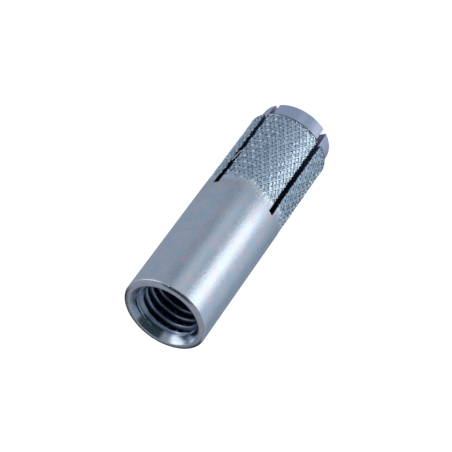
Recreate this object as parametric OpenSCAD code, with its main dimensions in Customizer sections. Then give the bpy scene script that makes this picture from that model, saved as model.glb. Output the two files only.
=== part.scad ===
// Drop-in anchor: a turned steel sleeve, knurled and slotted at its nose and tapped at its
// mouth, with a loose expander plug inside. The nose stands on z = 0 and the mouth points up.

/* [Sleeve] */
// Overall length of the sleeve
sleeve_length = 50; // [48:0.5:65]
// Outside diameter of the plain body
body_d = 15.7; // [15:0.1:18]
// Width of the chamfer on the mouth's outer edge, across the axis
mouth_chamfer_w = 0.55; // [0.1:0.05:0.8]
// Height of the chamfer on the mouth's outer edge, along the axis
mouth_chamfer_h = 0.7; // [0.1:0.05:1.5]

/* [Nose band] */
// Length of the plain band below the knurl
nose_length = 3.8; // [2:0.1:5]
// Step down from the body's radius to the band's upper edge
nose_step = 0.7; // [0.6:0.05:1.2]
// How much the band's radius tapers from its upper edge to the tip
nose_taper = 0.15; // [0:0.05:0.5]

/* [Knurl] */
// Length of the knurled band
knurl_length = 18.2; // [12:0.1:20]
// Diamonds around the band
knurl_count = 56; // [28:2:64]
// Diamonds along the band
knurl_rows = 12; // [8:1:16]
// Depth of each diamond pit below the ridges
knurl_depth = 0.35; // [0.15:0.05:0.5]
// How far every second ridge sinks below its neighbours, midway between them
knurl_drop = 0.12; // [0:0.02:0.14]
// How far the ridges lie below the plain body
knurl_relief = 0.02; // [0.01:0.01:0.08]

/* [Slots] */
// Number of slots that part the leaves
slot_count = 4; // [2:1:6]
// Width of a slot
slot_width = 1.15; // [0.6:0.05:2]
// Length of a slot, from the tip
slot_length = 23.5; // [12:0.5:27]

/* [Threaded hole] */
// Diameter over the thread's crests
thread_minor_d = 10.8; // [10.1:0.1:11.2]
// Depth of the threaded hole below the mouth's face
thread_depth = 19; // [14:0.5:19.5]
// Diameter of the countersink at the mouth's face
countersink_d = 13.2; // [12:0.1:13.8]
// Depth of the countersink
countersink_depth = 2.4; // [1:0.1:4]

/* [Expander bore] */
// Diameter of the plain bore below the thread
plug_bore_d = 10; // [9:0.1:10.4]
// Diameter of the hole at the tip
nose_hole_d = 6.4; // [5:0.1:7.5]
// Height above the tip at which the bore starts to taper
taper_top = 21; // [18:0.5:21]
// Length of the taper
taper_length = 16; // [12:0.5:17]

/* [Expander plug] */
// Length of the plug's tapered front, which sits in the taper
plug_front_length = 7; // [4:0.5:10]
// Length of the plug's plain tail, which slides in the plain bore
plug_tail_length = 7.5; // [3:0.5:7.5]
// Bevel on the plug's two edges
plug_bevel = 0.4; // [0.1:0.1:1]
// Clearance between the plug and its bore, on the radius
plug_clearance = 0.05; // [0.02:0.01:0.2]

/* [Hidden] */
$fn = 96;
// Length by which fused shapes run into each other and cuts run past a face
lap = 0.5;
// Depth by which the body starts below the knurl's last row of points
body_lap = 0.1;

body_r = body_d / 2;
nose_top_r = body_r - nose_step;
nose_tip_r = nose_top_r - nose_taper;
nose_slope = nose_taper / nose_length;

knurl_top = nose_length + knurl_length;
ridge_r = body_r - knurl_relief;
core_r = ridge_r - knurl_depth - lap;
knurl_columns = 2 * knurl_count;
knurl_last_row = 2 * knurl_rows;
row_height = knurl_length / knurl_last_row;
// Rows of points around the knurled band: those outside, and two on its inner wall
band_rows = knurl_last_row + 3;

thread_minor_r = thread_minor_d / 2;
plug_bore_r = plug_bore_d / 2;
nose_hole_r = nose_hole_d / 2;
taper_bottom = taper_top - taper_length;
taper_slope = (plug_bore_r - nose_hole_r) / taper_length;

plug_tail_r = plug_bore_r - plug_clearance;
plug_front_r = plug_tail_r - plug_front_length * taper_slope;
plug_front = taper_top - plug_front_length;
plug_back = taper_top + plug_tail_length;

// Depth of one point of the knurl: pits lie at odd points and ridges cross at even ones, where
// every second ridge of each hand is a low one, and the last row runs out level with the ridges
function knurl_sink(column, row) =
    let (
        pit = (column + row) % 2 == 1,
        low_crossing = row % 2 == 0 && (column + row) % 4 == 2
    )
    row == knurl_last_row ? 0 : pit ? knurl_depth : low_crossing ? knurl_drop : 0;

function ring_point(r, column, z) =
    let (angle = 360 * column / knurl_columns)
    [r * cos(angle), r * sin(angle), z];

function grid_index(column, row) =
    (row % band_rows) * knurl_columns + column % knurl_columns;

// Two triangles between four neighbouring points, parted along the ridge
function knurl_cell(column, row) =
    let (
        a = grid_index(column, row),
        b = grid_index(column + 1, row),
        c = grid_index(column + 1, row + 1),
        d = grid_index(column, row + 1)
    )
    (column + row) % 2 == 0 ? [[a, c, b], [a, d, c]] : [[a, d, b], [b, d, c]];

// Ring-shaped band of diamond knurl, whose inner wall lies inside the blank
module knurl() {
    columns = [0 : knurl_columns - 1];
    outside = [for (row = [0 : knurl_last_row], column = columns)
        ring_point(ridge_r - knurl_sink(column, row), column, nose_length + row * row_height)];
    inside = [for (z = [knurl_top + lap, nose_length], column = columns)
        ring_point(core_r - lap, column, z)];
    cells = [for (row = [0 : band_rows - 1], column = columns) each knurl_cell(column, row)];
    polyhedron(points = concat(outside, inside), faces = cells);
}

// Turned blank: nose band, core inside the knurl, plain body and mouth chamfer
module blank() {
    rotate_extrude()
        polygon([
            [0, 0],
            [nose_tip_r, 0],
            [nose_top_r + lap * nose_slope, nose_length + lap],
            [core_r, nose_length + lap],
            [core_r, knurl_top - body_lap],
            [body_r, knurl_top - body_lap],
            [body_r, sleeve_length - mouth_chamfer_h],
            [body_r - mouth_chamfer_w, sleeve_length],
            [0, sleeve_length]
        ]);
}

// Everything bored along the axis, from the hole in the tip to the countersink
module bores() {
    rotate_extrude()
        polygon([
            [0, -lap],
            [nose_hole_r, -lap],
            [nose_hole_r, taper_bottom],
            [plug_bore_r, taper_top],
            [plug_bore_r, sleeve_length - thread_depth],
            [thread_minor_r, sleeve_length - thread_depth],
            [thread_minor_r, sleeve_length - countersink_depth],
            [countersink_d / 2, sleeve_length],
            [countersink_d / 2, sleeve_length + lap],
            [0, sleeve_length + lap]
        ]);
}

module slots() {
    for (i = [0 : slot_count - 1])
        rotate([0, 0, i * 360 / slot_count])
            translate([0, -slot_width / 2, -lap])
                cube([body_r + lap, slot_width, slot_length + lap]);
}

module sleeve() {
    color([0.66, 0.70, 0.76])
        difference() {
            union() {
                blank();
                knurl();
            }
            bores();
            slots();
        }
}

module expander_plug() {
    color([0.50, 0.52, 0.55])
        rotate_extrude()
            polygon([
                [0, plug_front],
                [plug_front_r - plug_bevel, plug_front],
                [plug_front_r + plug_bevel * taper_slope, plug_front + plug_bevel],
                [plug_tail_r, taper_top],
                [plug_tail_r, plug_back - plug_bevel],
                [plug_tail_r - plug_bevel, plug_back],
                [0, plug_back]
            ]);
}

sleeve();
expander_plug();
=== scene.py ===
import math

import bmesh
import bpy
from mathutils import Matrix, Vector


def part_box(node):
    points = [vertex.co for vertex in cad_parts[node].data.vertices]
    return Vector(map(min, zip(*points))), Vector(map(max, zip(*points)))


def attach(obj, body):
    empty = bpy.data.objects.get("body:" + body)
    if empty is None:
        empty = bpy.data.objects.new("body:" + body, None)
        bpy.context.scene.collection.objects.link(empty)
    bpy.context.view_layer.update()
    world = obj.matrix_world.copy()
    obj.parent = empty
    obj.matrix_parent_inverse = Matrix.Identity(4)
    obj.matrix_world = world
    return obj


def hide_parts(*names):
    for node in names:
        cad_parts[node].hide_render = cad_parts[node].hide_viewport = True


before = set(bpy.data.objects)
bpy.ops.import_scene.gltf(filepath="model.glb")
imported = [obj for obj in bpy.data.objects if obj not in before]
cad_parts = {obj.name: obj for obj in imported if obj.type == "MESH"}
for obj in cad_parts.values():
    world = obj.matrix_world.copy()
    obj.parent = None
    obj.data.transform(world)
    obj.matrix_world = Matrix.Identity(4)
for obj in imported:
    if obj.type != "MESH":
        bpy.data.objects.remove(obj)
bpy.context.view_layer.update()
mm = 0.001
turn = 2 * math.pi
print("frame loaded:", sorted(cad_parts))


# Wraps a socket, so that node maths reads as plain expressions and every node is added one way
class Wire:
    def __init__(self, tree, socket=None):
        self.tree = tree
        self.socket = socket

    def add(self, kind, settings=None, sockets=None, out=0):
        node = self.tree.nodes.new(kind)
        for name, value in (settings or {}).items():
            setattr(node, name, value)
        for key, value in (sockets or {}).items():
            if isinstance(value, Wire):
                self.tree.links.new(value.socket, node.inputs[key])
            else:
                node.inputs[key].default_value = value
        return Wire(self.tree, node.outputs[out] if node.outputs else None)

    def out(self, name):  # another output of the same node
        return Wire(self.tree, self.socket.node.outputs[name])

    def maths(self, operation, *values):
        return self.add("ShaderNodeMath", {"operation": operation}, dict(enumerate(values)))

    def ramp(self, low, high, smooth=True):  # 0 below low, 1 above high
        way = "SMOOTHSTEP" if smooth else "LINEAR"
        ends = {"Value": self, "From Min": low, "From Max": high}
        return self.add("ShaderNodeMapRange", {"interpolation_type": way}, ends)

    def change(self, edge, place=0.0):  # the same over a named edge, which is measured from a place
        return self.ramp(place + edge[0], place + edge[1])

    def mixColour(self, low, high):  # low where this value is 0, high where it is 1
        return self.add("ShaderNodeMix", {"data_type": "RGBA"}, {0: self, 6: low, 7: high}, 2)

    def scaled(self, factor):  # a vector or a colour times one number
        return self.add("ShaderNodeVectorMath", {"operation": "SCALE"}, {0: self, "Scale": factor})

    def noise(self, scale, detail=2.0, roughness=0.5):
        sizes = {"Vector": self, "Scale": scale, "Detail": detail, "Roughness": roughness}
        return self.add("ShaderNodeTexNoise", None, sizes)

    def __add__(self, other):
        return self.maths("ADD", self, other)

    def __sub__(self, other):
        return self.maths("SUBTRACT", self, other)

    def __rsub__(self, other):
        return self.maths("SUBTRACT", other, self)

    def __mul__(self, other):
        return self.maths("MULTIPLY", self, other)

    def __truediv__(self, other):
        return self.maths("DIVIDE", self, other)

    __radd__ = __add__
    __rmul__ = __mul__


# Camera, fitted to the ellipse of the mouth and to the sleeve's two straight outlines
cameraSizes = {
    "lens": 158.98,
    "sensor": 36,  # mm wide
    "nearest": 10 * mm,  # where the view starts
    "azimuth": 35.11,  # from +X towards +Y
    "elevation": 37.95,
    "roll": 144.03,  # clockwise, from upright
    "distance": 350.3 * mm,
    "aim": Vector((-0.25, 0.36, 26.59)) * mm,
}


def addCamera(sizes):
    azimuth = math.radians(sizes["azimuth"])
    elevation = math.radians(sizes["elevation"])
    roll = math.radians(sizes["roll"])
    back = Vector((math.cos(azimuth) * math.cos(elevation),
                   math.sin(azimuth) * math.cos(elevation),
                   math.sin(elevation)))
    level = Vector((0, 0, 1)).cross(back).normalized()
    upright = back.cross(level)
    up = upright * math.cos(roll) + level * math.sin(roll)
    right = up.cross(back)
    data = bpy.data.cameras.new("photoCamera")
    data.sensor_width = sizes["sensor"]
    data.lens = sizes["lens"]
    data.clip_start = sizes["nearest"]
    camera = bpy.data.objects.new("photoCamera", data)
    bpy.context.scene.collection.objects.link(camera)
    turned = Matrix((right, up, back)).transposed().to_4x4()
    place = Matrix.Translation(sizes["aim"] + back * sizes["distance"])
    camera.matrix_world = place @ turned
    bpy.context.scene.camera = camera


addCamera(cameraSizes)
print("camera placed")


# Zinc plate over turned steel
zincLook = {
    "cool": (0.58, 0.68, 0.78, 1),
    "warm": (0.70, 0.69, 0.745, 1),
    "nose": (0.60, 0.65, 0.82, 1),
    # painted highlight and shade on the knurl: ridge tops light, partly worn bright, flanks darker with
    # random dark specks in the hollows
    "ridge": (0.92, 0.98, 1.0, 1),
    "flank": (0.64, 0.77, 0.90, 1),
    "pit": (0.22, 0.34, 0.46, 1),
    # painted shade: a thin dark line along the knurl's lower edge, above the step down to the nose
    "step": (0.10, 0.13, 0.20, 1),
    "lipHighlight": (0.95, 0.94, 0.97, 1),  # painted highlight along the rounded edge between the mouth's chamfer and the body
    # painted shade in the tapped hole: crests darker than the plate, grooves near black
    "crest": (0.40, 0.46, 0.57, 1),
    "crestDeepShade": (0.22, 0.27, 0.36, 1),  # painted shade: the crests darker further down the tapped hole
    "groove": (0.085, 0.13, 0.225, 1),
    "slotNose": (0.46, 0.45, 0.54, 1),  # the slot's walls, lit from the open end
    # painted shade: the slot's walls darken from the knurl's lower end up to the saw's root
    "slotMouth": (0.15, 0.17, 0.34, 1),
    "slotRoot": (0.02, 0.025, 0.05, 1),
    "shadeLineShare": 0.8,  # how dark the painted shade line at the countersink's end is, next to a groove
    "tintSize": 1.8,  # mm across one patch of tint
    "grainSize": 0.30,  # mm across one grain of the plating
    "speckSize": 0.24,  # mm across one bright or dull speck of the knurl
    "speckDepth": 0.2,  # mm by which specks shift the edge of a ridge's colour
    "raggedReach": 5,  # mm by which specks shift the knurl's upper end
    "waveSize": 2.5,  # mm across one unevenness of the turned wall
    "lineSize": 0.10,  # mm between turning lines
    # shade: brightness of the colour, varied at random by the grain and painted darker just above the knurl
    # to dim the highlight there
    "shade": {"base": 0.80, "grain": 0.40, "nearKnurl": -0.10},
    "roughness": {
        "base": 0.245, "grain": 0.10, "patches": 0.04, "slotWall": 0.3, "nearKnurl": 0.06,
        "mouth": -0.125, "inside": -0.045, "band": -0.105},
    "grainHeight": {"base": 3.3, "polished": -3.0},
    "grainGain": {"base": 1, "nearKnurl": 0.6},
    "lineHeight": {"base": 0.2, "turned": 0.6},
    "bumpHeight": 0.012 * mm,
    # where one finish gives way to the next: the two ends of each change, mm
    "edges": {
        # by radius
        "inner": (6.3, 6.4),  # from the bore and the countersink to the rim
        "step": (7.2, 7.4),  # from the nose to the knurl's lower end
        "mouth": (7.75, 7.82),  # from the rim and its chamfer to the body
        "lipSide": (-0.14, -0.08),  # from the body's radius
        # by height
        "bore": (0.2, 0.8),
        "turned": (49.0, 49.3),
        # by height, from the knurl's lower end
        "knurlFoot": (0, 0.1),
        "noseTop": (-0.1, 0),
        "stepFoot": (-0.05, 0),
        "stepTop": (0.1, 0.2),
        "slotNose": (-0.7, -0.2),
        # by height, from the knurl's upper end
        "knurlTop": (-1.0, 0.7),
        "nearKnurl": (0, 9),
        # by height, from the end of the countersink
        "coneFoot": (0.2, 0.6),
        "shadeLineFoot": (-0.16, -0.06),
        "shadeLineTop": (0, 0.1),
        "mouthFoot": (-0.05, 0.05),
        "deep": (-7, -1),
        # by height, from the chamfer's foot and from the slot's top
        "lipFoot": (-0.16, -0.10),
        "slotTop": (0, 0.1),
        # by depth below a ridge, below a crest and out of a slot's wall
        "ridge": (0.0, 0.09),
        "groove": (0.10, 0.40),
        "slotWall": (0.005, 0.03),
        # by strength of the noise
        "patches": (0.35, 0.65),
        "specks": (0.48, 0.72),
    },
}


def newMaterial(name):
    material = bpy.data.materials.new(name)
    material.use_nodes = True
    material.node_tree.nodes.clear()
    return material, Wire(material.node_tree)


def finishMaterial(start, sockets):
    shader = start.add("ShaderNodeBsdfPrincipled", None, sockets)
    start.add("ShaderNodeOutputMaterial", None, {"Surface": shader})


# A base value, and a share of each named mask on top
def blend(shares, masks):
    total = shares["base"]
    for name, share in shares.items():
        if name != "base":
            total = total + share * masks[name]
    return total


def zincPlate(name, look, sizes, cuts, sawn=True):
    material, start = newMaterial(name)
    edges = look["edges"]
    place = start.add("ShaderNodeTexCoord", None, None, "Object").scaled(1 / mm)
    split = start.add("ShaderNodeSeparateXYZ", None, {0: place})
    x, y, z = split.out("X"), split.out("Y"), split.out("Z")
    radius = start.maths("SQRT", x * x + y * y)

    # sizes of the sleeve, in mm
    knurlBottom = sizes["noseLength"] / mm
    knurlTop = knurlBottom + sizes["knurlLength"] / mm
    ridgeTop = cuts["Ridge Radius"] / mm
    crest = cuts["Crest Radius"] / mm
    coneFoot = sizes["countersinkFoot"] / mm
    coneSlope = (sizes["countersinkRadius"] / mm - coneFoot) / (sizes["countersinkDepth"] / mm)
    coneEnd = (sleeveLength - sizes["countersinkDepth"]) / mm
    leadSlope = (coneFoot - crest) / (sizes["leadLength"] / mm)
    slotHalf = cuts["Slot Width"] / mm / 2
    slotTop = cuts["Slot Length"] / mm
    lipFoot = (sleeveLength - sizes["chamferHeight"]) / mm

    # plating: patches of tint, fine grain, specks and the lines left by turning
    specks = place.noise(1 / look["speckSize"], detail=2, roughness=0.6)
    patches = place.noise(1 / look["tintSize"], detail=3, roughness=0.6).change(edges["patches"])
    grain = place.noise(1 / look["grainSize"], detail=2, roughness=0.6)
    waves = place.noise(1 / look["waveSize"], detail=1)
    ring = start.add("ShaderNodeCombineXYZ", None, {"X": radius, "Y": z, "Z": 0.0})
    lines = ring.noise(1 / look["lineSize"], detail=2, roughness=0.6)

    # where the finish changes, by place on the sleeve
    raggedEnd = (z + (specks - 0.5) * look["raggedReach"]).change(edges["knurlTop"], knurlTop)
    band = z.change(edges["knurlFoot"], knurlBottom) * (1 - raggedEnd)
    nose = 1 - z.change(edges["noseTop"], knurlBottom)
    inner = 1 - radius.change(edges["inner"])
    inside = inner * z.change(edges["bore"]) * (1 - z.change(edges["coneFoot"], coneEnd))
    # painted shade: a thin dark line where the countersink ends
    shadeLine = inner * z.change(edges["shadeLineFoot"], coneEnd) * (1 - z.change(edges["shadeLineTop"], coneEnd))
    overCone = z - coneEnd
    wall = start.maths("MINIMUM", overCone * coneSlope, overCone * leadSlope) + coneFoot
    groove = (radius - start.maths("MAXIMUM", wall, crest)).change(edges["groove"])
    # painted shade: a thin dark line on the knurl's lower edge
    step = z.change(edges["stepFoot"], knurlBottom) * (1 - z.change(edges["stepTop"], knurlBottom))
    step = step * radius.change(edges["step"])
    mouth = z.change(edges["mouthFoot"], coneEnd) * (1 - radius.change(edges["mouth"]))
    fromSlot = start.maths("MINIMUM", start.maths("ABSOLUTE", x), start.maths("ABSOLUTE", y))
    slotWall = 1 - fromSlot.change(edges["slotWall"], slotHalf)
    slotWall = slotWall * (1 - z.change(edges["slotTop"], slotTop))
    turned = nose + z.change(edges["turned"])
    # painted highlight on the rounded edge between the mouth's chamfer and the body
    lipHighlight = radius.change(edges["lipSide"], bodyRadius / mm) * z.change(edges["lipFoot"], lipFoot)
    nearKnurl = 1 - z.change(edges["nearKnurl"], knurlTop)
    polished = start.maths("MAXIMUM", start.maths("MAXIMUM", mouth, inside), nose)
    masks = {
        "band": band, "grain": grain, "inside": inside, "mouth": mouth, "nearKnurl": nearKnurl,
        "patches": patches, "polished": polished, "slotWall": slotWall, "turned": turned}

    plate = nose.mixColour(patches.mixColour(look["cool"], look["warm"]), look["nose"])
    # painted highlight and shade on the knurl: ridge tops light, partly worn bright; below them darker
    # flanks and random dark specks
    pitDepth = ridgeTop - radius + (specks - 0.5) * look["speckDepth"]
    knurled = specks.change(edges["specks"]).mixColour(look["flank"], look["pit"])
    knurled = pitDepth.change(edges["ridge"]).mixColour(look["ridge"], knurled)
    colour = band.mixColour(plate, knurled)
    # painted shade in the tapped hole: crests darker further down, grooves near black, and a dark line
    # where the countersink ends
    turns = z.change(edges["deep"], coneEnd).mixColour(look["crestDeepShade"], look["crest"])
    tapped = start.maths("MAXIMUM", groove, shadeLine * look["shadeLineShare"]).mixColour(turns, look["groove"])
    colour = inside.mixColour(colour, tapped)
    # painted shade: the slot's walls light at the nose end, darkening up to the saw's root
    if sawn:
        upSlot = z.ramp(knurlBottom, slotTop, smooth=False)
        slotWallShade = upSlot.mixColour(look["slotMouth"], look["slotRoot"])
        slotWallShade = z.change(edges["slotNose"], knurlBottom).mixColour(look["slotNose"], slotWallShade)
        colour = slotWall.mixColour(colour, slotWallShade)
    colour = step.mixColour(colour, look["step"])
    colour = lipHighlight.mixColour(colour, look["lipHighlight"])
    colour = colour.scaled(blend(look["shade"], masks))
    height = grain * blend(look["grainHeight"], masks) * blend(look["grainGain"], masks)
    height = height + waves + lines * blend(look["lineHeight"], masks)
    bump = start.add("ShaderNodeBump", None, {
        "Strength": 1.0, "Distance": look["bumpHeight"], "Height": height})
    finishMaterial(start, {
        "Base Color": colour, "Metallic": 1.0, "Roughness": blend(look["roughness"], masks),
        "Normal": bump})
    return material


# Sleeve: the turned outline, the knurl's own lattice of points and the rings of the thread
sleeveSizes = {
    "noseLength": 3.8 * mm,
    "noseTopRadius": 7.15 * mm,
    "noseTipRadius": 7.0 * mm,
    "noseHoleRadius": 3.2 * mm,
    "knurlLength": 18.2 * mm,
    "knurlCount": 56,  # diamonds around
    "knurlRows": 12,  # diamonds along
    "knurlRelief": 0.02 * mm,  # how far the ridges stay below the body
    "knurlLip": 0.25 * mm,  # above the knurl, where the plain body starts
    "ridgeLand": 0.075,  # half the flat top of a ridge, as a share of a diamond
    "ridgeFoot": 0.20,  # where a ridge's flank meets the floor, as a share of a diamond
    "chamferWidth": 0.46 * mm,
    "chamferHeight": 0.42 * mm,
    "countersinkRadius": 6.6 * mm,
    "countersinkFoot": 5.8 * mm,  # radius where the countersink ends
    "countersinkDepth": 1.6 * mm,
    "leadLength": 0.8 * mm,  # of the flatter cone that leads into the thread
    "crestRadius": 5.1 * mm,  # of the thread's crests
    "threadStart": 0.9 * mm,  # below the mouth, where the rings of the thread start
    "threadDepth": 19 * mm,
    "threadRunOut": 1.0 * mm,  # above the tapped hole's end, where the turns run out
    "threadRing": 0.075 * mm,  # between the rings of points that the thread is cut from
    "boreRadius": 5 * mm,
    "taperTop": 21 * mm,
    "taperBottom": 5 * mm,
    "edge": 0.10 * mm,  # rounding of the turned edges
    "chamferEdge": 0.12 * mm,  # rounding between the mouth's chamfer and the body
    "rimFall": 0.06 * mm,  # how far the mouth's face falls to its outer edge
    "bodyRings": (24.0, 26.0, 31.0, 37.0, 43.0),  # heights of the rings along the plain body, mm
    "sharpAngle": 30,  # degrees between faces that meet in a hard edge
}
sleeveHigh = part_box("sleeve")[1]
bodyRadius = min(sleeveHigh.x, sleeveHigh.y)
sleeveLength = sleeveHigh.z

# Inputs of the node tree that presses the knurl, cuts the thread and saws the slots
sleeveCuts = {
    "Knurl Count": float(sleeveSizes["knurlCount"]),
    "Knurl Bottom": sleeveSizes["noseLength"],
    "Knurl Length": sleeveSizes["knurlLength"],
    "Diamond Length": sleeveSizes["knurlLength"] / sleeveSizes["knurlRows"],
    "Body Radius": bodyRadius,
    "Ridge Radius": bodyRadius - sleeveSizes["knurlRelief"],
    "Ridge Land": sleeveSizes["ridgeLand"],
    "Ridge Foot": sleeveSizes["ridgeFoot"],
    "Pit Depth": 0.16 * mm,
    "Low Ridge Drop": 0.12 * mm,
    "Lead In": 0.3 * mm,
    "Run Out": 1.5 * mm,
    "Wear": 0.06 * mm,
    "Wear Scale": 0.6,  # patches to a mm
    "Torn": 0.16 * mm,
    "Torn Scale": 2.6,
    "Seed": 3.0,
    "Thread Pitch": 1.75 * mm,
    "Crest Radius": sleeveSizes["crestRadius"],
    "Groove Depth": 0.95 * mm,
    "Crest Round": 0.18 * mm,
    "Crest Height": 47.1 * mm,  # middle of a crest on the +X side
    "Thread End": sleeveLength - sleeveSizes["threadDepth"] + sleeveSizes["threadRunOut"],
    "Slot Count": 4,
    "Slot Width": 1.15 * mm,
    "Slot Length": 23.5 * mm,
    "Slot Root": 1.5 * mm,  # where a slot's saw stops, short of the axis
    "Saw Reach": 10 * mm,
}


# Points of a turned outline, each corner rounded over its own reach
def roundedOutline(corners, steps=3):
    points = []
    for i, (radius, height, reach) in enumerate(corners):
        corner = Vector((radius, height))
        if not reach:
            points.append(corner)
            continue
        before = Vector(corners[i - 1][:2]) - corner
        after = Vector(corners[i + 1][:2]) - corner
        first = corner + before.normalized() * reach
        last = corner + after.normalized() * reach
        for step in range(steps + 1):
            share = step / steps
            middle = corner * 2 * share * (1 - share)
            points.append(first * (1 - share) ** 2 + middle + last * share ** 2)
    return points


# Faces between two rings of points; one ring may have twice as many points as the other
def joinRings(first, second):
    a, b = len(first), len(second)
    if a == b:
        return [(first[i], first[(i + 1) % a], second[(i + 1) % b], second[i]) for i in range(a)]
    faces = []
    if a == 2 * b:
        for i in range(b):
            left, middle, right = first[2 * i], first[2 * i + 1], first[(2 * i + 2) % a]
            over, following = second[i], second[(i + 1) % b]
            faces += [(left, middle, over), (middle, right, following), (middle, following, over)]
    else:
        for i in range(a):
            left, middle, right = second[2 * i], second[2 * i + 1], second[(2 * i + 2) % b]
            under, following = first[i], first[(i + 1) % a]
            faces += [(under, following, middle), (under, middle, left), (following, right, middle)]
    return faces


def sleeveBlank(sizes):
    count = sizes["knurlCount"]
    land = sizes["ridgeLand"]
    foot = sizes["ridgeFoot"]
    spread = (0, land, foot, 1 - foot, 1 - land)  # where the points stand across one diamond
    columns = len(spread) * count
    bandSteps = len(spread) * 2 * sizes["knurlRows"]
    diamondLength = sizes["knurlLength"] / sizes["knurlRows"]
    ridgeRadius = sleeveCuts["Ridge Radius"]
    points, faces, knurlWall, threadWall = [], [], [], []

    def across(column):
        return column // len(spread) + spread[column % len(spread)]

    def addPoint(radius, angle, height, knurl=0.0, thread=0.0):
        points.append((radius * math.cos(angle), radius * math.sin(angle), height))
        knurlWall.append(knurl)
        threadWall.append(thread)
        return len(points) - 1

    # the knurled band: its rows of points follow the ridges of both hands
    band = []
    for step in range(bandSteps + 1):
        row = []
        for column in range(columns):
            right, left = across(column + step), across(column)
            angle = (right + left) / 2 * turn / count
            height = sizes["noseLength"] + (right - left) / 2 * diamondLength
            row.append(addPoint(ridgeRadius, angle, height, knurl=1.0))
        band.append(row)
    for column in range(columns):
        following = (column + 1) % columns
        faces.append((band[0][column], band[0][following], band[1][column]))
        faces.append((band[-1][column], band[-2][following], band[-1][following]))
        for step in range(1, bandSteps):
            faces.append((band[step][column], band[step - 1][following],
                          band[step][following], band[step + 1][column]))
    shift = columns - bandSteps // 2
    bandTop = [band[-1][(column + shift) % columns] for column in range(columns)]

    # the rest, turned: up the body, over the mouth, down the bore and across the nose
    def ring(radius, height, thinned, thread=0.0):
        step = 2 if thinned else 1
        return [addPoint(radius, column * turn / columns, height, thread=thread)
                for column in range(0, columns, step)]

    edge = sizes["edge"]
    crestRadius = sizes["crestRadius"]
    knurlTop = sizes["noseLength"] + sizes["knurlLength"]
    shoulder = sleeveLength - sizes["threadDepth"]
    coneEnd = sleeveLength - sizes["countersinkDepth"]
    coneSlope = (sizes["countersinkRadius"] - sizes["countersinkFoot"]) / sizes["countersinkDepth"]
    leadSlope = (sizes["countersinkFoot"] - crestRadius) / sizes["leadLength"]
    threadStart = sleeveLength - sizes["threadStart"]
    outside = roundedOutline([
        (ridgeRadius, knurlTop, 0),
        (bodyRadius, knurlTop + sizes["knurlLip"], 0),
        *[(bodyRadius, height * mm, 0) for height in sizes["bodyRings"]],
        (bodyRadius, sleeveLength - sizes["chamferHeight"], sizes["chamferEdge"]),
        (bodyRadius - sizes["chamferWidth"], sleeveLength - sizes["rimFall"], edge),
        (sizes["countersinkRadius"] + 2 * edge, sleeveLength, 0)], steps=5)[1:]
    mouth = roundedOutline([
        (bodyRadius - sizes["chamferWidth"], sleeveLength - sizes["rimFall"], 0),
        (sizes["countersinkRadius"], sleeveLength, edge),
        (sizes["countersinkFoot"], coneEnd, 0)])[1:-1]
    rings = int((threadStart - shoulder) / sizes["threadRing"])
    tapped = []
    for i in range(rings):
        height = threadStart - i * sizes["threadRing"]
        overCone = height - coneEnd
        wall = sizes["countersinkFoot"] + min(overCone * coneSlope, overCone * leadSlope)
        tapped.append(Vector((max(crestRadius, wall), height)))
    bore = roundedOutline([
        (crestRadius, shoulder + edge, 0),
        (crestRadius, shoulder, 0),
        (sizes["boreRadius"], shoulder, edge),
        (sizes["boreRadius"], sizes["taperTop"], 0),
        (sizes["noseHoleRadius"], sizes["taperBottom"], 0),
        (sizes["noseHoleRadius"], 0, edge),
        (sizes["noseHoleRadius"] + 4 * edge, 0, 0)])[1:]
    nose = roundedOutline([
        (sizes["noseHoleRadius"], 0, 0),
        (sizes["noseTipRadius"] - 4 * edge, 0, 0),
        (sizes["noseTipRadius"], 0, 2 * edge),
        (sizes["noseTopRadius"], sizes["noseLength"], edge / 2),
        (ridgeRadius, sizes["noseLength"], 0)])[1:-1]

    chain = [bandTop]
    chain += [ring(p.x, p.y, False) for p in outside]
    chain += [ring(p.x, p.y, True) for p in mouth]
    chain += [ring(p.x, p.y, True, thread=1.0) for p in tapped]
    chain += [ring(p.x, p.y, True) for p in bore]
    chain += [ring(p.x, p.y, False) for p in nose]
    chain.append(band[0])
    for first, second in zip(chain, chain[1:]):
        faces += joinRings(first, second)

    mesh = bpy.data.meshes.new("anchorSleeve")
    mesh.from_pydata(points, [], faces)
    for name, values in (("knurlWall", knurlWall), ("threadWall", threadWall)):
        mesh.attributes.new(name, "FLOAT", "POINT").data.foreach_set("value", values)
    return mesh


def newTree(name, sizes):
    tree = bpy.data.node_groups.new(name, "GeometryNodeTree")
    tree.interface.new_socket("Geometry", in_out="INPUT", socket_type="NodeSocketGeometry")
    for label, value in sizes.items():
        kind = "NodeSocketInt" if isinstance(value, int) else "NodeSocketFloat"
        tree.interface.new_socket(label, in_out="INPUT", socket_type=kind)
    tree.interface.new_socket("Geometry", in_out="OUTPUT", socket_type="NodeSocketGeometry")
    return tree


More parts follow.
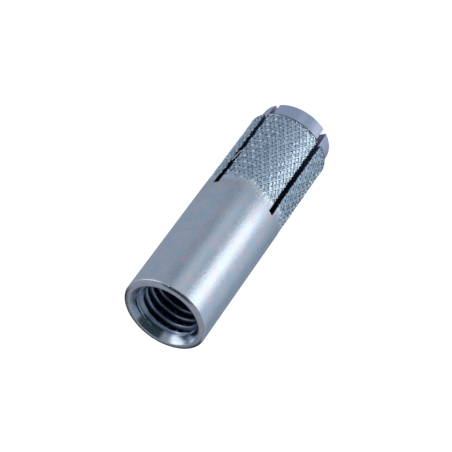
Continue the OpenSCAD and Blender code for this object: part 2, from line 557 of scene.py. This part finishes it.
def sleeveTree(sizes, material):
    tree = newTree("sleeveCuts", sizes)
    start = Wire(tree)
    entry = start.add("NodeGroupInput")
    size = {label: entry.out(label) for label in sizes}
    place = start.add("GeometryNodeInputPosition")
    split = start.add("ShaderNodeSeparateXYZ", None, {0: place})
    x, y, z = split.out("X"), split.out("Y"), split.out("Z")
    angle = start.maths("ARCTAN2", y, x)
    radius = start.maths("SQRT", x * x + y * y)

    def wallMask(name):
        return start.add("GeometryNodeInputNamedAttribute", {"data_type": "FLOAT"}, {"Name": name})

    # knurl: ridges of both hands, every second one of each hand lower
    def ridgeSink(phase):
        fromRidge = start.maths("PINGPONG", phase, 0.5)
        fromHighRidge = start.maths("PINGPONG", phase, 1.0)
        flank = fromRidge.ramp(size["Ridge Land"], size["Ridge Foot"], smooth=False)
        return flank * size["Pit Depth"] + fromHighRidge * size["Low Ridge Drop"]

    def patchy(scale, detail):  # seeded noise about 0
        return start.add("ShaderNodeTexNoise", {"noise_dimensions": "4D"}, {
            "Vector": place.scaled(1 / mm), "W": size["Seed"], "Scale": scale, "Detail": detail}) - 0.5

    around = angle * size["Knurl Count"] / turn
    along = (z - size["Knurl Bottom"]) / size["Diamond Length"]
    sink = start.maths("MINIMUM", ridgeSink(around + along), ridgeSink(around - along))
    uneven = patchy(size["Wear Scale"], 2.0)
    torn = patchy(size["Torn Scale"], 1.0)
    knurlTop = size["Knurl Bottom"] + size["Knurl Length"]
    ragged = z + (uneven + torn) * 2 * size["Run Out"]
    pressed = 1 - ragged.ramp(knurlTop - size["Run Out"], knurlTop)
    pressed = pressed * z.ramp(size["Knurl Bottom"], size["Knurl Bottom"] + size["Lead In"])
    worn = start.maths("ABSOLUTE", uneven) * size["Wear"]
    sink = start.maths("MAXIMUM", sink + torn * size["Torn"], 0.0)
    relief = size["Body Radius"] - size["Ridge Radius"]
    knurlRadius = size["Body Radius"] - (relief + sink + worn) * pressed

    # thread: a helical crest, rounded into flanks of 30 degrees and run out at its lower end
    flankSlope = math.tan(math.radians(60))
    phase = (z - size["Crest Height"]) / size["Thread Pitch"] - angle / turn
    fromCrest = start.maths("PINGPONG", phase, 0.5) * size["Thread Pitch"]
    roundEnd = size["Crest Round"] * flankSlope
    onRound = start.maths("MINIMUM", fromCrest, roundEnd)
    onFlank = start.maths("MAXIMUM", fromCrest - roundEnd, 0.0)
    groove = onRound * onRound / (size["Crest Round"] * 2) + onFlank * flankSlope
    groove = start.maths("MINIMUM", groove, size["Groove Depth"])
    cut = z.ramp(size["Thread End"], size["Thread End"] + size["Thread Pitch"])
    threadRadius = size["Crest Radius"] + groove * cut
    threadRadius = start.maths("MAXIMUM", threadRadius, radius)

    newRadius = radius + wallMask("knurlWall") * (knurlRadius - radius)
    newRadius = newRadius + wallMask("threadWall") * (threadRadius - radius)
    share = newRadius / radius
    moved = start.add("ShaderNodeCombineXYZ", None, {"X": x * share, "Y": y * share, "Z": z})
    pressedMesh = start.add("GeometryNodeSetPosition", None, {"Geometry": entry, "Position": moved})

    # slots: one saw blade, repeated around the axis
    bladeLength = size["Saw Reach"] - size["Slot Root"]
    bladeHeight = size["Slot Length"] * 2
    bladeSize = start.add("ShaderNodeCombineXYZ", None, {
        "X": bladeLength, "Y": size["Slot Width"], "Z": bladeHeight})
    bladeMiddle = (size["Saw Reach"] + size["Slot Root"]) / 2
    blade = start.add("GeometryNodeMeshCube", None, {"Size": bladeSize})
    blade = start.add("GeometryNodeTransform", None, {
        "Geometry": blade,
        "Translation": start.add("ShaderNodeCombineXYZ", None, {"X": bladeMiddle, "Y": 0.0, "Z": 0.0})})
    index = start.add("GeometryNodeInputIndex")
    spin = start.add("ShaderNodeCombineXYZ", None, {
        "X": 0.0, "Y": 0.0, "Z": index * turn / size["Slot Count"]})
    saws = start.add("GeometryNodeInstanceOnPoints", None, {
        "Points": start.add("GeometryNodePoints", None, {"Count": size["Slot Count"]}),
        "Instance": blade, "Rotation": spin})
    saws = start.add("GeometryNodeRealizeInstances", None, {"Geometry": saws})
    sawn = start.add("GeometryNodeMeshBoolean", {"operation": "DIFFERENCE", "solver": "MANIFOLD"}, {
        "Mesh 1": pressedMesh, "Mesh 2": saws})

    whole = start.add("GeometryNodeRealizeInstances", None, {"Geometry": sawn})
    done = start.add("GeometryNodeSetMaterial", None, {"Geometry": whole, "Material": material})
    start.add("NodeGroupOutput", None, {0: done})
    return tree


# Runs a tree on a piece and keeps the result as a plain mesh
def runTree(piece, tree, sizes):
    modifier = piece.modifiers.new(tree.name, "NODES")
    modifier.node_group = tree
    for item in tree.interface.items_tree:
        if item.in_out == "INPUT" and item.name in sizes:
            modifier[item.identifier] = sizes[item.name]
    depsgraph = bpy.context.evaluated_depsgraph_get()
    mesh = bpy.data.meshes.new_from_object(piece.evaluated_get(depsgraph), depsgraph=depsgraph)
    piece.modifiers.remove(modifier)
    piece.data = mesh


def addPiece(name, mesh):
    piece = bpy.data.objects.new(name, mesh)
    bpy.context.scene.collection.objects.link(piece)
    return piece


zinc = zincPlate("zincPlate", zincLook, sleeveSizes, sleeveCuts)
sleeve = addPiece("anchorSleeve", sleeveBlank(sleeveSizes))
runTree(sleeve, sleeveTree(sleeveCuts, zinc), sleeveCuts)
sleeve.data.shade_smooth()
sleeve.data.set_sharp_from_angle(angle=math.radians(sleeveSizes["sharpAngle"]))
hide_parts("sleeve")
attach(sleeve, "root")
print("sleeve made:", len(sleeve.data.polygons), "faces")


# Burrs that the saw and the lathe left: slivers of the plate, each along a short path
burrLook = {
    "slotBurr": {
        "path": [(0.60, 7.50, 14.1), (0.22, 7.66, 14.5), (0.08, 7.70, 15.1),
                 (-0.02, 7.70, 15.8), (-0.14, 7.68, 16.4), (-0.60, 7.52, 16.9)],
        "width": 0.36 * mm,
        "thick": 0.14 * mm,
    },
    "rimBurr": {
        "path": [(4.65, 6.16, 49.62), (4.75, 6.08, 49.72), (4.86, 6.00, 49.72), (5.06, 5.83, 49.60)],
        "width": 0.22 * mm,
        "thick": 0.12 * mm,
    },
}


def sliver(name, look, material):
    path = [Vector(point) * mm for point in look["path"]]
    points, faces = [], []
    for i, here in enumerate(path):
        along = (path[min(i + 1, len(path) - 1)] - path[max(i - 1, 0)]).normalized()
        outward = Vector((here.x, here.y, 0)).normalized()
        across = along.cross(outward).normalized()
        outward = across.cross(along)
        swell = 1.0 if i % 2 else 0.7  # ragged edges
        side = across * look["width"] / 2 * swell
        lift = outward * look["thick"] / 2 * swell
        points += [here + lift, here + side, here - lift, here - side]
    last = len(points) - 4
    for i in range(len(path) - 1):
        for j in range(4):
            k = (j + 1) % 4
            faces.append((4 * i + j, 4 * i + k, 4 * i + 4 + k, 4 * i + 4 + j))
    faces += [(3, 2, 1, 0), (last, last + 1, last + 2, last + 3)]
    mesh = bpy.data.meshes.new(name)
    mesh.from_pydata(points, [], faces)
    mesh.materials.append(material)
    shell = bmesh.new()
    shell.from_mesh(mesh)
    bmesh.ops.recalc_face_normals(shell, faces=shell.faces)
    shell.to_mesh(mesh)
    shell.free()
    burr = addPiece(name, mesh)
    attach(burr, "root")


# painted highlight: the slot's burr coloured near white and pinkish, so that it shows as a bright streak
burrZinc = dict(
    zincLook,
    ridge=(0.97, 0.90, 0.95, 1),
    flank=(0.94, 0.86, 0.92, 1),
    pit=(0.85, 0.78, 0.85, 1))
burrPlate = zincPlate("burrPlate", burrZinc, sleeveSizes, sleeveCuts, sawn=False)
for burrName, burrSizes in burrLook.items():
    sliver(burrName, burrSizes, burrPlate)
print("burrs made")


# Expander plug: the CAD's own solid, with a headed steel finish
plugLook = {
    "bright": (0.74, 0.76, 0.79, 1),
    "dull": (0.52, 0.54, 0.57, 1),
    "patchSize": 2.5,  # mm
    "lineSize": 0.15,  # mm
    "patches": (0.3, 0.7),  # strength of the noise where dull gives way to bright
    "roughness": {"base": 0.3, "patches": 0.2},
    "bumpStrength": 0.5,
    "bumpHeight": 0.01 * mm,
}


def plugSteel(look):
    material, start = newMaterial("plugSteel")
    place = start.add("ShaderNodeTexCoord", None, None, "Object").scaled(1 / mm)
    split = start.add("ShaderNodeSeparateXYZ", None, {0: place})
    x, y, z = split.out("X"), split.out("Y"), split.out("Z")
    radius = start.maths("SQRT", x * x + y * y)
    ring = start.add("ShaderNodeCombineXYZ", None, {"X": radius, "Y": z, "Z": 0.0})
    lines = ring.noise(1 / look["lineSize"], detail=2, roughness=0.6)
    patches = place.noise(1 / look["patchSize"], detail=3)
    colour = patches.change(look["patches"]).mixColour(look["dull"], look["bright"])
    roughness = blend(look["roughness"], {"patches": patches})
    bump = start.add("ShaderNodeBump", None, {
        "Strength": look["bumpStrength"], "Distance": look["bumpHeight"], "Height": lines})
    finishMaterial(start, {
        "Base Color": colour, "Metallic": 1.0, "Roughness": roughness, "Normal": bump})
    return material


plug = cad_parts["expander_plug"]
plug.data.materials.clear()
plug.data.materials.append(plugSteel(plugLook))
print("plug finished")


# Floor and studio: the floor is left out of the reflections, so the panels below it light the wall
floorSizes = {"reach": 2.0, "colour": (0.96, 0.96, 0.96, 1), "glow": 0.92, "roughness": 0.9}
studioLook = {
    "below": (0.35, 0.40, 0.47, 1),
    "above": (0.33, 0.36, 0.41, 1),
    "backdrop": (1.0, 1.0, 1.0, 1),
    "horizon": (-0.3, 0.3),  # elevations, in radians, where below gives way to above
}
# Each panel: where its middle stands, its size in degrees, its soft edge and its light, in the order
# that they lie over each other
studioPanels = [
    # mirrored in the plain wall
    {"azimuth": -50, "elevation": -36, "width": 34, "height": 60, "soft": 16, "light": (0.54, 0.62, 0.71)},
    {"azimuth": -100, "elevation": -36, "width": 40, "height": 60, "soft": 16, "light": (0.30, 0.37, 0.44)},
    {"azimuth": 45, "elevation": -36, "width": 18, "height": 60, "soft": 12, "light": (0.70, 0.79, 0.85)},
    {"azimuth": -6, "elevation": -33, "width": 36, "height": 36, "soft": 18, "light": (1.85, 1.90, 1.92)},
    {"azimuth": 24, "elevation": -36, "width": 9, "height": 60, "soft": 8, "light": (0.30, 0.36, 0.42)},
    {"azimuth": 74, "elevation": -36, "width": 10, "height": 60, "soft": 8, "light": (0.15, 0.18, 0.21)},
    # in the countersink's far side, the thread and the near chamfer
    {"azimuth": 28, "elevation": 39, "width": 72, "height": 76, "soft": 12, "light": (0.03, 0.05, 0.055)},
    {"azimuth": -14, "elevation": 20, "width": 16, "height": 40, "soft": 6, "light": (0.03, 0.05, 0.055)},
    {"azimuth": 41, "elevation": 64, "width": 114, "height": 40, "soft": 14, "light": (0.03, 0.04, 0.05)},
    {"azimuth": 35, "elevation": 47, "width": 70, "height": 14, "soft": 8, "light": (0.24, 0.32, 0.42)},
    # in the nose
    {"azimuth": 20, "elevation": -51, "width": 32, "height": 16, "soft": 6, "light": (0.30, 0.38, 0.46)},
    {"azimuth": -22, "elevation": -51, "width": 16, "height": 14, "soft": 8, "light": (1.15, 1.20, 1.25)},
    {"azimuth": -75, "elevation": -51, "width": 62, "height": 14, "soft": 6, "light": (0.55, 0.61, 0.70)},
    {"azimuth": 125, "elevation": -56, "width": 130, "height": 24, "soft": 8, "light": (0.42, 0.46, 0.55)},
    # in the countersink's right side
    {"azimuth": 114, "elevation": 6, "width": 44, "height": 26, "soft": 12, "light": (1.35, 1.38, 1.40)},
    {"azimuth": 112, "elevation": 25, "width": 22, "height": 18, "soft": 8, "light": (1.65, 1.62, 1.66)},
    {"azimuth": 161, "elevation": -8, "width": 44, "height": 28, "soft": 12, "light": (0.08, 0.15, 0.24)},
    # in the rim's far edge
    {"azimuth": -145, "elevation": 15.5, "width": 70, "height": 31, "soft": 4, "light": (0.06, 0.06, 0.07)},
    {"azimuth": -156, "elevation": -14, "width": 40, "height": 30, "soft": 8, "light": (0.06, 0.06, 0.07)},
    # in the countersink's left side
    {"azimuth": -103, "elevation": -12, "width": 64, "height": 28, "soft": 8, "light": (0.04, 0.06, 0.09)},
    {"azimuth": -45, "elevation": 8, "width": 40, "height": 16, "soft": 8, "light": (0.24, 0.31, 0.40)},
]


def addFloor(sizes):
    reach = sizes["reach"]
    mesh = bpy.data.meshes.new("floor")
    corners = [(-reach, -reach, 0), (reach, -reach, 0), (reach, reach, 0), (-reach, reach, 0)]
    mesh.from_pydata(corners, [], [(0, 1, 2, 3)])
    floor = addPiece("floor", mesh)
    material, start = newMaterial("paleFloor")
    finishMaterial(start, {
        "Base Color": sizes["colour"], "Roughness": sizes["roughness"],
        "Emission Color": sizes["colour"], "Emission Strength": sizes["glow"]})
    mesh.materials.append(material)
    floor.visible_glossy = False
    floor.visible_shadow = False


def addStudio(look, panels):
    world = bpy.data.worlds.new("studio")
    world.use_nodes = True
    world.node_tree.nodes.clear()
    bpy.context.scene.world = world
    start = Wire(world.node_tree)
    way = start.add("ShaderNodeTexCoord", None, None, "Generated")
    split = start.add("ShaderNodeSeparateXYZ", None, {0: way})
    azimuth = start.maths("ARCTAN2", split.out("Y"), split.out("X"))
    elevation = start.maths("ARCSINE", split.out("Z"))
    colour = elevation.change(look["horizon"]).mixColour(look["below"], look["above"])

    def within(distance, width, soft):
        low, high = math.radians((width - soft) / 2), math.radians((width + soft) / 2)
        return 1 - distance.ramp(low, high)

    for panel in panels:
        aside = start.maths("PINGPONG", azimuth - math.radians(panel["azimuth"]), math.pi)
        above = start.maths("ABSOLUTE", elevation - math.radians(panel["elevation"]))
        lit = within(aside, panel["width"], panel["soft"]) * within(above, panel["height"], panel["soft"])
        colour = lit.mixColour(colour, (*panel["light"], 1))
    seen = start.add("ShaderNodeLightPath", None, None, "Is Camera Ray")
    colour = seen.mixColour(colour, look["backdrop"])
    light = start.add("ShaderNodeBackground", None, {"Color": colour, "Strength": 1.0})
    start.add("ShaderNodeOutputWorld", None, {"Surface": light})


addFloor(floorSizes)
addStudio(studioLook, studioPanels)
bpy.context.scene.view_settings.view_transform = "Standard"
print("floor and studio placed")
